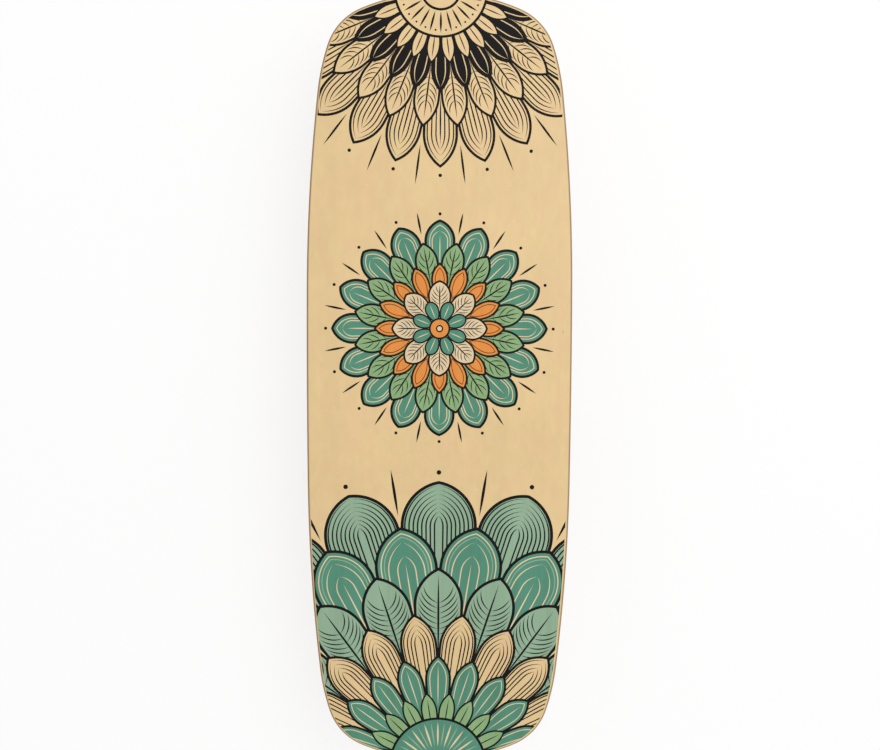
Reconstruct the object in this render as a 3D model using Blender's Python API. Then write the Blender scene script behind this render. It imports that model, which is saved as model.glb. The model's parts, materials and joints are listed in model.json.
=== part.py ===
"""Balance board with a roller: a laminated deck with two end stops, and a cork covered roller under it.

Metres, +Z up. The board's length lies along Y and its width along X. The origin is on the floor, midway
under the deck, so the roller stands on z = 0 and carries the deck level.
"""

import math

import bmesh
import bpy
from mathutils import Vector

# Clearance kept between solids that touch on the real board, which stands for a glue line between veneers
GAP = 0.0003
# Points nearer than this are one point
SAME_PLACE = 1e-6

# Faces that meet at more than this angle meet in a sharp edge
SHARP_ANGLE = math.radians(30)

# Deck: plywood, with its long edges and noses rounded over
DECK_LENGTH = 0.800
DECK_THICKNESS = 0.012
PLY_COUNT = 9
EDGE_RADIUS = 0.003
EDGE_STEPS = 2

# Deck outline from the middle of one side to the tip of one nose: tangent arcs of radius and turn in degrees
OUTLINE_ARCS = (
    (12.500, 0.46),
    (1.937, 5.92),
    (0.232, 11.95),
    (0.0604, 48.70),
    (0.208, 22.97),
)
CHORD_ERROR = 0.00012

# Roller: cork sleeve glued round a plywood tube, closed by discs
ROLLER_DIAMETER = 0.100
ROLLER_LENGTH = 0.250
CORK_THICKNESS = 0.011
CORK_EDGE = 0.002
TUBE_WALL = 0.007
TUBE_EDGE = 0.0007
DISC_THICKNESS = 0.012
DISC_EDGE = 0.001
DISC_RECESS = 0.002
ROLLER_SIDES = 32

# End stops: bars across the underside, each with a rubber strip on the side that the roller meets
STOP_LENGTH = 0.190
STOP_WIDTH = 0.024
STOP_HEIGHT = 0.015
STOP_CORNER = 0.008
STOP_CHAMFER = 0.0015
STOP_CENTRE = 0.327
CORNER_STEPS = 4
CHAMFER_STEPS = 2
PAD_LENGTH = 0.170
PAD_THICKNESS = 0.003
PAD_HEIGHT = 0.010
PAD_DROP = 0.0025
PAD_BEVEL = 0.0008

# Countersunk wood screws, 4 x 20 mm, three in each stop
SCREW_LENGTH = 0.020
SCREW_RADIUS = 0.002
SCREW_HEAD_RADIUS = 0.004
SCREW_HEAD_HEIGHT = 0.0022
SCREW_TIP = 0.004
SCREW_PITCH = 0.070
SCREW_SIDES = 10
SCREW_SUNK = 0.0003
HOLE_CLEARANCE = 0.00035
DRILLED_PLIES = 4

# Heights
ROLLER_RADIUS = ROLLER_DIAMETER / 2
DECK_BOTTOM = ROLLER_DIAMETER + GAP
PLY_THICKNESS = (DECK_THICKNESS - (PLY_COUNT - 1) * GAP) / PLY_COUNT
PLY_PITCH = PLY_THICKNESS + GAP
STOP_TOP = DECK_BOTTOM - GAP
STOP_BOTTOM = STOP_TOP - STOP_HEIGHT
END_SIGNS = {"front": -1, "rear": 1}


def clear_scene():
    """Removes whatever the file held."""
    for obj in list(bpy.data.objects):
        bpy.data.objects.remove(obj, do_unlink=True)


def make_material(name, colour, roughness, metallic=0.0):
    """A Principled material of one linear colour."""
    material = bpy.data.materials.new(name)
    material.use_nodes = True
    shader = material.node_tree.nodes["Principled BSDF"]
    shader.inputs["Base Color"].default_value = (*colour, 1.0)
    shader.inputs["Roughness"].default_value = roughness
    shader.inputs["Metallic"].default_value = metallic
    material.diffuse_color = (*colour, 1.0)
    return material


def add_object(name, bm, material):
    """Turns a bmesh into a named object with outward faces, smooth but for its sharp edges."""
    bmesh.ops.recalc_face_normals(bm, faces=bm.faces[:])
    mesh = bpy.data.meshes.new(name)
    bm.to_mesh(mesh)
    bm.free()
    mesh.materials.append(material)
    mesh.shade_smooth()
    mesh.set_sharp_from_angle(angle=SHARP_ANGLE)
    obj = bpy.data.objects.new(name, mesh)
    bpy.context.scene.collection.objects.link(obj)
    return obj


def drill_holes(obj, drills):
    """Takes the volume of every drill in the collection away from the object."""
    modifier = obj.modifiers.new("screw_holes", "BOOLEAN")
    modifier.operation = "DIFFERENCE"
    modifier.solver = "EXACT"
    modifier.operand_type = "COLLECTION"
    modifier.collection = drills


def arc_steps(radius, turn):
    """The number of chords that keeps an arc within the chord error."""
    widest = 2 * math.acos(1 - CHORD_ERROR / radius)
    return math.ceil(turn / widest)


def direction(angle):
    """The unit vector at an angle from +X."""
    return Vector((math.cos(angle), math.sin(angle)))


def outline_stations():
    """(arc centre, arc radius, angle of the outward normal) of each point on a quarter of the outline.

    Each arc's centre lies on the line from the last centre through the point where the two arcs meet.
    """
    stations = []
    centre = Vector((0.0, 0.0))
    angle = 0.0
    last_radius = OUTLINE_ARCS[0][0]
    for radius, turn_degrees in OUTLINE_ARCS:
        centre = centre + (last_radius - radius) * direction(angle)
        turn = math.radians(turn_degrees)
        steps = arc_steps(radius, turn)
        stations += [(centre, radius, angle + turn * step / steps) for step in range(steps)]
        angle += turn
        last_radius = radius
    stations.append((centre, last_radius, angle))
    return stations


def quarter_outline(inset):
    """Points of a quarter of the outline, drawn in by the inset, from the side's middle to the nose's tip.

    An inset outline is made of concentric arcs, so it has the same stations as the outline itself.
    """
    stations = outline_stations()
    last_centre, last_radius, last_angle = stations[-1]
    scale = (DECK_LENGTH / 2) / (last_centre.y + last_radius)
    points = []
    for centre, radius, angle in stations:
        point = (centre - Vector((last_centre.x, 0.0))) * scale
        point += (radius * scale - inset) * direction(angle)
        points.append((point.x, point.y))
    return points


def deck_outline(inset):
    """The whole outline as a closed loop of points, anticlockwise from +X."""
    right_rear = quarter_outline(inset)
    left_rear = [(-x, y) for x, y in reversed(right_rear[:-1])]
    left_front = [(-x, -y) for x, y in right_rear[1:]]
    right_front = [(x, -y) for x, y in reversed(right_rear[1:-1])]
    return right_rear + left_rear + left_front + right_front


def edge_inset(height):
    """How far the rounded edge has drawn in at a height above the deck's underside."""
    depth = min(height, DECK_THICKNESS - height)
    if depth >= EDGE_RADIUS:
        return 0.0
    return EDGE_RADIUS - math.sqrt(EDGE_RADIUS**2 - (EDGE_RADIUS - depth) ** 2)


def ply_heights(index):
    """Heights above the underside at which a veneer's edge has a ring of points."""
    low = index * PLY_PITCH
    high = low + PLY_THICKNESS
    if edge_inset(low) == 0.0 and edge_inset(high) == 0.0:
        return [low, high]
    return [low + (high - low) * step / EDGE_STEPS for step in range(EDGE_STEPS + 1)]


def build_ply(index, material):
    """One veneer of the deck, its edge following the deck's rounded edge."""
    bm = bmesh.new()
    loops = []
    for height in ply_heights(index):
        ring = []
        for x, y in deck_outline(edge_inset(height)):
            ring.append(bm.verts.new((x, y, DECK_BOTTOM + height)))
        loops.append([bm.edges.new(pair) for pair in zip(ring, ring[1:] + ring[:1])])
    bmesh.ops.contextual_create(bm, geom=loops[0])
    bmesh.ops.contextual_create(bm, geom=loops[-1])
    for lower, upper in zip(loops, loops[1:]):
        bmesh.ops.bridge_loops(bm, edges=lower + upper)
    return add_object(f"deck_ply_{index + 1}", bm, material)


def turned(bm, profile, sides):
    """Spins a profile of (radius, height) points about Z, closed at the axis or round a bore.

    Each radius is met by the middle of the flats, one of which faces +X and one -X.
    """
    half_side = math.pi / sides
    corner = direction(half_side) / math.cos(half_side)
    ring = [bm.verts.new((radius * corner.x, radius * corner.y, height)) for radius, height in profile]
    edges = [bm.edges.new(pair) for pair in zip(ring, ring[1:])]
    if min(radius for radius, height in profile) > 0.0:
        edges.append(bm.edges.new((ring[-1], ring[0])))
    bmesh.ops.spin(
        bm,
        geom=ring + edges,
        cent=(0.0, 0.0, 0.0),
        axis=(0.0, 0.0, 1.0),
        angle=2 * math.pi,
        steps=sides,
        use_merge=True,
    )
    bmesh.ops.remove_doubles(bm, verts=bm.verts[:], dist=SAME_PLACE)


def tube_profile(outer, inner, length, edge):
    """A tube's wall with chamfered outer edges, as (radius, height) points about the middle of its length."""
    half = length / 2
    return [
        (inner, -half),
        (outer - edge, -half),
        (outer, -half + edge),
        (outer, half - edge),
        (outer - edge, half),
        (inner, half),
    ]


def disc_profile(radius, thickness, edge):
    """A disc with chamfered rims, as (radius, height) points about the middle of its thickness."""
    half = thickness / 2
    return [
        (0.0, -half),
        (radius - edge, -half),
        (radius, -half + edge),
        (radius, half - edge),
        (radius - edge, half),
        (0.0, half),
    ]


def add_roller_piece(name, profile, along, parent, material):
    """A turned piece of the roller, at a distance along the roller's axis."""
    bm = bmesh.new()
    turned(bm, profile, ROLLER_SIDES)
    piece = add_object(name, bm, material)
    piece.parent = parent
    piece.location = (0.0, 0.0, along)
    return piece


def build_roller(materials):
    """The roller's tube, cork, end discs and middle disc, on an empty that lies along the roller's axis."""
    axis = bpy.data.objects.new("roller_axis", None)
    bpy.context.scene.collection.objects.link(axis)
    axis.location = (0.0, 0.0, ROLLER_RADIUS)
    axis.rotation_euler = (0.0, math.pi / 2, 0.0)
    cork_bore = ROLLER_RADIUS - CORK_THICKNESS
    tube_radius = cork_bore - GAP
    tube_bore = tube_radius - TUBE_WALL
    disc_radius = tube_bore - GAP
    cork = tube_profile(ROLLER_RADIUS, cork_bore, ROLLER_LENGTH, CORK_EDGE)
    tube = tube_profile(tube_radius, tube_bore, ROLLER_LENGTH, TUBE_EDGE)
    disc = disc_profile(disc_radius, DISC_THICKNESS, DISC_EDGE)
    end = ROLLER_LENGTH / 2 - DISC_RECESS - DISC_THICKNESS / 2
    add_roller_piece("roller_cork_sleeve", cork, 0.0, axis, materials["cork"])
    add_roller_piece("roller_core_tube", tube, 0.0, axis, materials["tube"])
    add_roller_piece("roller_end_disc_left", disc, -end, axis, materials["birch"])
    add_roller_piece("roller_end_disc_right", disc, end, axis, materials["birch"])
    add_roller_piece("roller_middle_disc", disc, 0.0, axis, materials["birch"])


def screw_base():
    """The height of the screws' flat heads, just inside the stops."""
    return STOP_BOTTOM + SCREW_SUNK


def screw_profile():
    """A countersunk screw standing head down, as (radius, height) points."""
    return [
        (0.0, 0.0),
        (SCREW_HEAD_RADIUS, 0.0),
        (SCREW_RADIUS, SCREW_HEAD_HEIGHT),
        (SCREW_RADIUS, SCREW_LENGTH - SCREW_TIP),
        (0.0, SCREW_LENGTH),
    ]


def drill_profile():
    """The countersunk hole for a screw, with a straight bore right through the drilled veneers."""
    head = SCREW_HEAD_RADIUS + HOLE_CLEARANCE
    bore = SCREW_RADIUS + HOLE_CLEARANCE
    depth = DECK_BOTTOM + DRILLED_PLIES * PLY_PITCH - GAP / 2 - screw_base()
    return [
        (0.0, -STOP_CHAMFER),
        (head, -STOP_CHAMFER),
        (head, 0.0),
        (bore, SCREW_HEAD_HEIGHT),
        (bore, depth),
        (0.0, depth),
    ]


def build_screws(end, materials, drills):
    """The screws of one stop, and the drill that cuts the hole of each."""
    for number, across in enumerate((-SCREW_PITCH, 0.0, SCREW_PITCH), start=1):
        place = (across, END_SIGNS[end] * STOP_CENTRE, screw_base())
        screw_bm = bmesh.new()
        turned(screw_bm, screw_profile(), SCREW_SIDES)
        screw = add_object(f"stop_screw_{end}_{number}", screw_bm, materials["steel"])
        screw.location = place
        drill_bm = bmesh.new()
        turned(drill_bm, drill_profile(), SCREW_SIDES)
        drill = add_object(f"drill_{end}_{number}", drill_bm, materials["steel"])
        drill.location = place
        drill.hide_render = True
        drill.display_type = "WIRE"
        bpy.context.scene.collection.objects.unlink(drill)
        drills.objects.link(drill)


def bevel_edges(bm, edges, width, segments):
    """Rounds the given edges to a width, in a number of segments."""
    bmesh.ops.bevel(
        bm,
        geom=edges,
        offset=width,
        offset_type="OFFSET",
        affect="EDGES",
        segments=segments,
        profile=0.5,
        material=-1,
    )


def bar(size, centre):
    """A rectangular bar as a bmesh."""
    bm = bmesh.new()
    bmesh.ops.create_cube(bm, size=1.0)
    bmesh.ops.scale(bm, vec=size, verts=bm.verts[:])
    bmesh.ops.translate(bm, vec=centre, verts=bm.verts[:])
    return bm


def is_upright(edge):
    """Whether an edge stands along Z."""
    start, end = (vert.co for vert in edge.verts)
    return abs(start.z - end.z) > SAME_PLACE and (start.xy - end.xy).length < SAME_PLACE


def build_stop(end, materials, drills):
    """One stop bar with its screw holes, and its rubber strip."""
    sign = END_SIGNS[end]
    centre_z = STOP_BOTTOM + STOP_HEIGHT / 2
    bm = bar((STOP_LENGTH, STOP_WIDTH, STOP_HEIGHT), (0.0, sign * STOP_CENTRE, centre_z))
    bevel_edges(bm, [edge for edge in bm.edges if is_upright(edge)], STOP_CORNER, CORNER_STEPS)
    floor_edges = []
    for edge in bm.edges:
        if all(abs(vert.co.z - STOP_BOTTOM) < SAME_PLACE for vert in edge.verts):
            floor_edges.append(edge)
    bevel_edges(bm, floor_edges, STOP_CHAMFER, CHAMFER_STEPS)
    stop = add_object(f"end_stop_{end}", bm, materials["stop"])
    drill_holes(stop, drills)

    inner_face = STOP_CENTRE - STOP_WIDTH / 2
    pad_y = inner_face - GAP - PAD_THICKNESS / 2
    pad_z = STOP_TOP - PAD_DROP - PAD_HEIGHT / 2
    pad = bar((PAD_LENGTH, PAD_THICKNESS, PAD_HEIGHT), (0.0, sign * pad_y, pad_z))
    inner_edges = []
    for edge in pad.edges:
        if all(abs(vert.co.y) < pad_y for vert in edge.verts):
            inner_edges.append(edge)
    bevel_edges(pad, inner_edges, PAD_BEVEL, CHAMFER_STEPS)
    add_object(f"stop_pad_{end}", pad, materials["rubber"])


def build_deck(materials, drills):
    """The veneers, the lowest of them drilled for the stops' screws."""
    for index in range(PLY_COUNT):
        outer = index in (0, PLY_COUNT - 1)
        lengthwise = index % 2 == 0
        tone = "face" if outer else "long_grain" if lengthwise else "cross_grain"
        ply = build_ply(index, materials[tone])
        if index < DRILLED_PLIES:
            drill_holes(ply, drills)


def roller_travel():
    """How far the roller's axis can go from the middle before the cork meets a rubber strip."""
    strip_face = STOP_CENTRE - STOP_WIDTH / 2 - GAP - PAD_THICKNESS
    below_top = PAD_DROP + PAD_HEIGHT - PAD_BEVEL
    half_chord = math.sqrt(ROLLER_RADIUS**2 - (ROLLER_RADIUS - below_top) ** 2)
    return strip_face - half_chord


def main():
    """Builds the whole board and prints the sizes that follow from the driving ones."""
    clear_scene()
    materials = {
        "face": make_material("birch_face_veneer", (0.768, 0.568, 0.325), 0.42),
        "long_grain": make_material("birch_long_grain_veneer", (0.640, 0.440, 0.240), 0.55),
        "cross_grain": make_material("birch_cross_grain_veneer", (0.430, 0.262, 0.130), 0.62),
        "birch": make_material("birch_disc", (0.680, 0.480, 0.270), 0.50),
        "stop": make_material("beech_stop", (0.560, 0.330, 0.165), 0.48),
        "rubber": make_material("black_rubber", (0.020, 0.020, 0.021), 0.75),
        "steel": make_material("zinc_plated_steel", (0.620, 0.600, 0.560), 0.32, 1.0),
        "cork": make_material("pressed_cork", (0.460, 0.262, 0.120), 0.82),
        "tube": make_material("wound_tube", (0.520, 0.350, 0.190), 0.70),
    }
    drills = bpy.data.collections.new("drills")
    bpy.context.scene.collection.children.link(drills)
    for end in END_SIGNS:
        build_screws(end, materials, drills)
        build_stop(end, materials, drills)
    build_deck(materials, drills)
    build_roller(materials)
    width = 2 * deck_outline(0.0)[0][0]
    print(f"deck {DECK_LENGTH:.4f} x {width:.4f} m, its top at {DECK_BOTTOM + DECK_THICKNESS:.4f}")
    print(f"roller travel each way {roller_travel():.4f} m, screws' base at {screw_base():.4f}")


main()
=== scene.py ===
"""Balance board with a roller: the finish of its printed plywood deck, end stops and cork roller.

Metres, +Z up, in the frame of the packed model: the board's length lies along Y, its width along X, and
the roller stands on z = 0 under the middle. Run as a script, it dresses the model and sets a plain studio
round it.
"""

import json
import math
from typing import NamedTuple

import bmesh
import bpy
from mathutils import Matrix, Vector, noise
from mathutils.geometry import delaunay_2d_cdt


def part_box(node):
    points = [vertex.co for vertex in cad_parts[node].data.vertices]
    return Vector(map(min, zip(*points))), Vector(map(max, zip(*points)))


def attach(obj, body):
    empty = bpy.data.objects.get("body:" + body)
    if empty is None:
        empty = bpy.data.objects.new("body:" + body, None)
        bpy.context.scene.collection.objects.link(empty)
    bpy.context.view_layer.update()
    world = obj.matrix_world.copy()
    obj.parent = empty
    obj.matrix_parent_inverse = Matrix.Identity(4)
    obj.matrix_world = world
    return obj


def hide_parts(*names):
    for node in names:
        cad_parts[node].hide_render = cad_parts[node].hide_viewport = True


bl_info = {
    "name": "Balance Board Finish",
    "version": (1, 0, 0),
    "blender": (4, 5, 0),
    "location": "View3D > Sidebar > Balance Board",
    "description": "Builds the finished pieces of a printed balance board and its cork roller",
    "category": "Add Mesh",
}

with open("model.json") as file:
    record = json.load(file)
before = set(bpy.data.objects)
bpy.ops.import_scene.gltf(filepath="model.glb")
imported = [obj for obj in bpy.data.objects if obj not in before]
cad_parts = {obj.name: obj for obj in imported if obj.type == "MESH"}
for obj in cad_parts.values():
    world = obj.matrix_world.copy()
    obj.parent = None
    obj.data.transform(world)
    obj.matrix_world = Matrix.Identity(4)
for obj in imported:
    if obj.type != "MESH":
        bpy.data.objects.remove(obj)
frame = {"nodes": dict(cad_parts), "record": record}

SAME_PLACE = 2e-6
SAME_PRINT_PLACE = 3e-7
SHARP_ANGLE = math.radians(30)
LEVEL_NORMAL = 0.99999
QUARTER_TURN = math.pi / 2
WHOLE_TURN = 2 * math.pi
ORIGIN = Vector((0, 0, 0))
ALONG_X = Vector((1.0, 0.0, 0.0))
ALONG_Z = Vector((0, 0, 1.0))
WHITE = (1.0, 1.0, 1.0, 1.0)
COAT_ROUGHNESS = 0.30

# What the packed model fixes
SLOT_COLOURS = {entry["slot"]: entry["base_color"] for entry in frame["record"]["materials"]}
PLY_NAMES = sorted(name for name in frame["nodes"] if name.startswith("deck_ply_"))
PLY_LEVELS = [tuple(corner.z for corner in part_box(name)) for name in PLY_NAMES]
DECK_BOTTOM = PLY_LEVELS[0][0]
DECK_TOP = PLY_LEVELS[-1][1]
DECK_HALF_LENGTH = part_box(PLY_NAMES[len(PLY_NAMES) // 2])[1].y
ROLLER_LOW, ROLLER_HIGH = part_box("roller_cork_sleeve")
ROLLER_HALF_LENGTH = ROLLER_HIGH.x
ROLLER_AXIS = Vector((0, 0, (ROLLER_LOW.z + ROLLER_HIGH.z) / 2))
ROLLER_RADIUS = (ROLLER_HIGH.z - ROLLER_LOW.z) / 2
ENDS = ("front", "rear")
SCREWS = [f"{end}_{number}" for end in ENDS for number in (1, 2, 3)]

# The deck's outline from the middle of one side to the tip of one nose: radius and turn of each arc
OUTLINE_ARCS = (
    (12.500, math.radians(0.46)),
    (1.937, math.radians(5.92)),
    (0.232, math.radians(11.95)),
    (0.0604, math.radians(48.70)),
    (0.208, math.radians(22.97)),
)
DECK_CHORD_ERROR = 0.00002
PRINT_CHORD_ERROR = 0.00006

INKS = ("black", "teal", "sea", "green", "orange", "cream")
# How deep an ink reaches into the wood, as a share of its film
INK_BITE = 0.4

# A leaf's side veins, in shares of its length: place of the first, spread of the rest, and bulge
VEIN_START = 0.24
VEIN_SPREAD = 0.50
VEIN_BOW = 0.03
# The least distance of a vein's end from the leaf's middle, in metres
VEIN_LEAST_REACH = 0.001

# The rubber strips' grooved side
RIB_COUNT = 5
RIB_BORDER = 0.0006
RIB_EDGE = 0.00015

# The roller's parts, turned about X: radii, how finely they are made, and the tube's plies
CORK_BORE = 0.0389
CORK_SIDES = 180
CORK_STEP = 0.0018
TUBE_OUTER = 0.0388
TUBE_INNER = 0.0317
TUBE_SIDES = 128
TUBE_PLY = 0.0009
DISC_RADIUS = 0.0316

# Countersunk wood screw, 4 x 20 mm, and the hole it sits in
SCREW_ROOT = 0.00135
SCREW_PLAIN = 0.0040
SCREW_TIP = 0.0050
SCREW_HEAD_HEIGHT = 0.0022
SCREW_HEAD_RIM = 0.0003
SCREW_SIDES = 32
RECESS_REACH = 0.0022
RECESS_ARM = 0.0010
RECESS_DEPTH = 0.0019
RECESS_TAPER = 0.55
HOLE_CLEARANCE = 0.0001

# The lamp stands at the deck's rear right, and the camera looks down from over its rear half
LAMP_PLACE = (0.8, 0.9, 2.4)
CAMERA_PLACE = (-0.0135, 0.1029, 1.2481)
CAMERA_TURN = (math.radians(-4.579), math.radians(-0.695), math.radians(0.246))
CAMERA_LENS = 45.0
CAMERA_SENSOR = 36.0


def amount(name, description, default, low, high, **kind):
    """A number that the user can change."""
    limits = {"min": low, "max": high}
    return bpy.props.FloatProperty(name=name, description=description, default=default, **limits, **kind)


def size(name, description, default, low=0.0, high=1.0):
    """A length in metres that the user can change."""
    return amount(name, description, default, low, high, precision=5, subtype="DISTANCE", unit="LENGTH")


def colour(name, description, slot):
    """A colour that the user can change, at first that of one of the record's slots."""
    default = SLOT_COLOURS[slot]
    return bpy.props.FloatVectorProperty(
        name=name, description=description, default=default, size=3, min=0.0, max=1.0, subtype="COLOR"
    )


class DeckSettings(bpy.types.PropertyGroup):
    """Sizes and colours of the deck."""

    edge_radius: size("Edge radius", "Radius of the rounded edge", 0.003, 0.0005, 0.005)
    glue_line: size("Glue line", "Dark line left between two veneers", 0.00006, 0.0, 0.0003)
    face: colour("Face veneer", "Lacquered birch of the outer veneers", "face_veneer")
    long_grain: colour("Long grain", "Edge of a veneer cut along its grain", "long_grain_veneer")
    end_grain: colour("End grain", "Edge of a veneer cut across its grain", "cross_grain_veneer")


class PrintSettings(bpy.types.PropertyGroup):
    """Sizes and inks of the ornament."""

    margin: size("Margin", "Bare wood between the print and the deck's edge", 0.0030, 0.0, 0.02)
    side_shift: size("Side shift", "How far the print sits off the middle", -0.0004, -0.005, 0.005)
    film: size("Ink film", "Thickness of the ink", 0.00005, 0.00002, 0.0003)
    black: colour("Black ink", "Ink of the outlines", "print_black")
    teal: colour("Teal ink", "Ink of the darker green fields", "print_teal")
    sea: colour("Sea green ink", "Ink of the large greyish green fields", "print_sea")
    green: colour("Green ink", "Ink of the small leaves", "print_green")
    orange: colour("Orange ink", "Ink of the warm fields", "print_orange")
    cream: colour("Cream ink", "Ink of the light lines", "print_cream")


class StopSettings(bpy.types.PropertyGroup):
    """Sizes and colours of the end stops, rubber strips and screws."""

    corner: size("Corner radius", "Radius of a stop's upright corners", 0.008, 0.001, 0.011)
    edge: size("Edge radius", "Radius of a stop's lower edges", 0.0015, 0.0003, 0.004)
    strip_edge: size("Strip edge", "Radius of a rubber strip's edges", 0.0008, 0.0002, 0.0014)
    rib_depth: size("Rib depth", "Depth of the grooves along a rubber strip", 0.0005, 0.0001, 0.001)
    thread: size("Thread", "Radius of a screw's thread", 0.0020, 0.0015, 0.003)
    lead: size("Lead", "Distance between two turns of a screw's thread", 0.0018, 0.0008, 0.004)
    wood: colour("Stop wood", "Oiled beech", "stop_wood")
    rubber: colour("Rubber", "Rubber of the strips", "stop_rubber")
    steel: colour("Steel", "Zinc plated steel of the screws", "screw_steel")


class RollerSettings(bpy.types.PropertyGroup):
    """Sizes and colours of the roller."""

    cork_edge: size("Cork edge", "Radius of the cork's rounded ends", 0.002, 0.0005, 0.005)
    tube_edge: size("Tube edge", "Radius of the tube's edges", 0.0006, 0.0002, 0.002)
    disc_edge: size("Disc edge", "Radius of the discs' edges", 0.001, 0.0002, 0.003)
    pilot_hole: size("Pilot hole", "Radius of the hole saw's hole in a disc", 0.003, 0.001, 0.01)
    granule: size("Granule", "Usual width of a cork granule", 0.0026, 0.0005, 0.01)
    unevenness: size("Unevenness", "How far the cork dips below a true cylinder", 0.00030, 0.0, 0.001)
    cork: colour("Cork", "Pressed cork", "roller_cork")
    tube: colour("Tube", "Raw end of the wound tube", "roller_tube")
    disc: colour("Disc", "Birch plywood of the discs", "roller_disc")


class StageSettings(bpy.types.PropertyGroup):
    """Floor and light."""

    floor_size: size("Floor size", "Length of the floor's sides", 12.0, 2.0, 50.0)
    shadow: amount("Shadow", "Share of the shadow that the floor shows", 0.24, 0.0, 1.0, subtype="FACTOR")
    shadow_reach: size("Shadow reach", "Distance at which the floor turns plain white", 1.6, 0.2, 10.0)
    ambient: amount("Ambient light", "Strength of the light from all round", 0.66, 0.0, 2.0)
    lamp_size: size("Lamp size", "Length of the soft lamp's sides", 2.0, 0.1, 5.0)
    lamp_power: amount("Lamp power", "Power of the soft lamp", 30.0, 0.0, 1000.0, unit="POWER")


def add_node(tree, kind, inputs=None, **settings):
    """Adds a shader node with its properties, and fills inputs by name or number."""
    node = tree.nodes.new("ShaderNode" + kind)
    for name, value in settings.items():
        setattr(node, name, value)
    for key, value in (inputs or {}).items():
        if isinstance(value, bpy.types.NodeSocket):
            tree.links.new(value, node.inputs[key])
        else:
            node.inputs[key].default_value = value
    return node


def maths(tree, operation, *values):
    """The result of a Math node."""
    return add_node(tree, "Math", dict(enumerate(values)), operation=operation).outputs[0]


def times(tree, first, second):
    """The product of two numbers."""
    return maths(tree, "MULTIPLY", first, second)


def vector_maths(tree, operation, inputs, output="Vector"):
    """The result of a Vector Math node."""
    return add_node(tree, "VectorMath", inputs, operation=operation).outputs[output]


def stretched(tree, vector, scales):
    """A vector with each axis scaled."""
    return vector_maths(tree, "MULTIPLY", {0: vector, 1: scales})


def between(tree, value, low, high, to_low=0.0, to_high=1.0):
    """A value mapped from one range to another, and clamped."""
    inputs = {"Value": value, "From Min": low, "From Max": high, "To Min": to_low, "To Max": to_high}
    return add_node(tree, "MapRange", inputs).outputs[0]


def cloud(tree, vector, scale, detail=3.0, roughness=0.5, distortion=0.0, output="Fac"):
    """An output of a Noise Texture."""
    inputs = {0: vector, "Scale": scale, "Detail": detail, "Roughness": roughness, "Distortion": distortion}
    return add_node(tree, "TexNoise", inputs).outputs[output]


def drawn_cloud(tree, vector, across, along, *character):
    """Noise that is drawn out along Y."""
    return cloud(tree, stretched(tree, vector, (across, along, across)), 1.0, *character)


def cells(tree, vector, scale=1.0, **settings):
    """The outputs of a Voronoi Texture."""
    return add_node(tree, "TexVoronoi", {"Vector": vector, "Scale": scale}, **settings).outputs


def place_vector(tree, **change):
    """The piece's own coordinates, through a Mapping node if a change is given."""
    place = add_node(tree, "TexCoord").outputs["Object"]
    return add_node(tree, "Mapping", {"Vector": place, **change}).outputs[0] if change else place


def facing(tree, axis):
    """How far a surface faces along an axis of the board, either way."""
    normal = add_node(tree, "TexCoord").outputs["Normal"]
    return maths(tree, "ABSOLUTE", add_node(tree, "SeparateXYZ", {"Vector": normal}).outputs[axis])


def opaque(rgb, strength=1.0):
    """A colour with full alpha, lighter or darker by a factor."""
    return (*(min(1.0, part * strength) for part in rgb), 1.0)


def mix(tree, factor, first, second, blend="MIX"):
    """The result of a colour Mix node."""
    inputs = {"Factor": factor, 6: first, 7: second}
    return add_node(tree, "Mix", inputs, data_type="RGBA", blend_type=blend).outputs[2]


def shaded(tree, level, rgb, dark, light):
    """A colour between a dark and a light shade of itself."""
    return mix(tree, level, opaque(rgb, dark), opaque(rgb, light))


def toned(tree, base, tone, low, high, dark, light):
    """A colour made darker where a tone is low, and lighter where it is high."""
    return mix(tree, 1.0, base, between(tree, tone, low, high, dark, light), "MULTIPLY")


def marked(tree, base, mask, strength, rgb, shade=1.0):
    """A colour with a shade of another laid on it through a mask."""
    return mix(tree, times(tree, mask, strength), base, opaque(rgb, shade))


def wood_grain(tree, vector, fineness):
    """Wood with its grain along Y: bands and fibres, mottling, short pores, and their height."""
    place = vector_maths(tree, "SCALE", {0: vector, 3: fineness})
    bands = drawn_cloud(tree, place, 70.0, 2.6, 3.0, 0.55, 0.35)
    fibres = drawn_cloud(tree, place, 900.0, 22.0, 2.0, 0.6)
    blots = drawn_cloud(tree, place, 125.0, 60.0, 2.0, 0.55, 0.4)
    patches = drawn_cloud(tree, place, 24.0, 15.0, 2.0, 0.5)
    dashes = cells(tree, stretched(tree, place, (620.0, 75.0, 620.0)))
    dash = between(tree, dashes["Distance"], 0.06, 0.20, 1.0, 0.0)
    pores = times(tree, dash, between(tree, dashes["Color"], 0.58, 0.72))
    return {
        "Tone": maths(tree, "MULTIPLY_ADD", bands, 0.68, times(tree, fibres, 0.32)),
        "Mottle": maths(tree, "MULTIPLY_ADD", blots, 0.5, times(tree, patches, 0.5)),
        "Warmth": drawn_cloud(tree, place, 60.0, 34.0, 1.0, 0.5),
        "Pores": pores,
        "Height": maths(tree, "SUBTRACT", times(tree, fibres, 0.5), pores),
    }


def fine_speckle(tree, vector, fineness):
    """A moulded or plated skin: speckle, slow drifts and hairline scratches."""
    return {
        "Speckle": cloud(tree, vector, fineness, 4.0, 0.7),
        "Drift": cloud(tree, vector, times(tree, fineness, 0.04), 2.0, 0.5),
        "Scratches": between(tree, drawn_cloud(tree, vector, 4000.0, 300.0, 1.0, 0.5, 0.6), 0.66, 0.74),
    }


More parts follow.
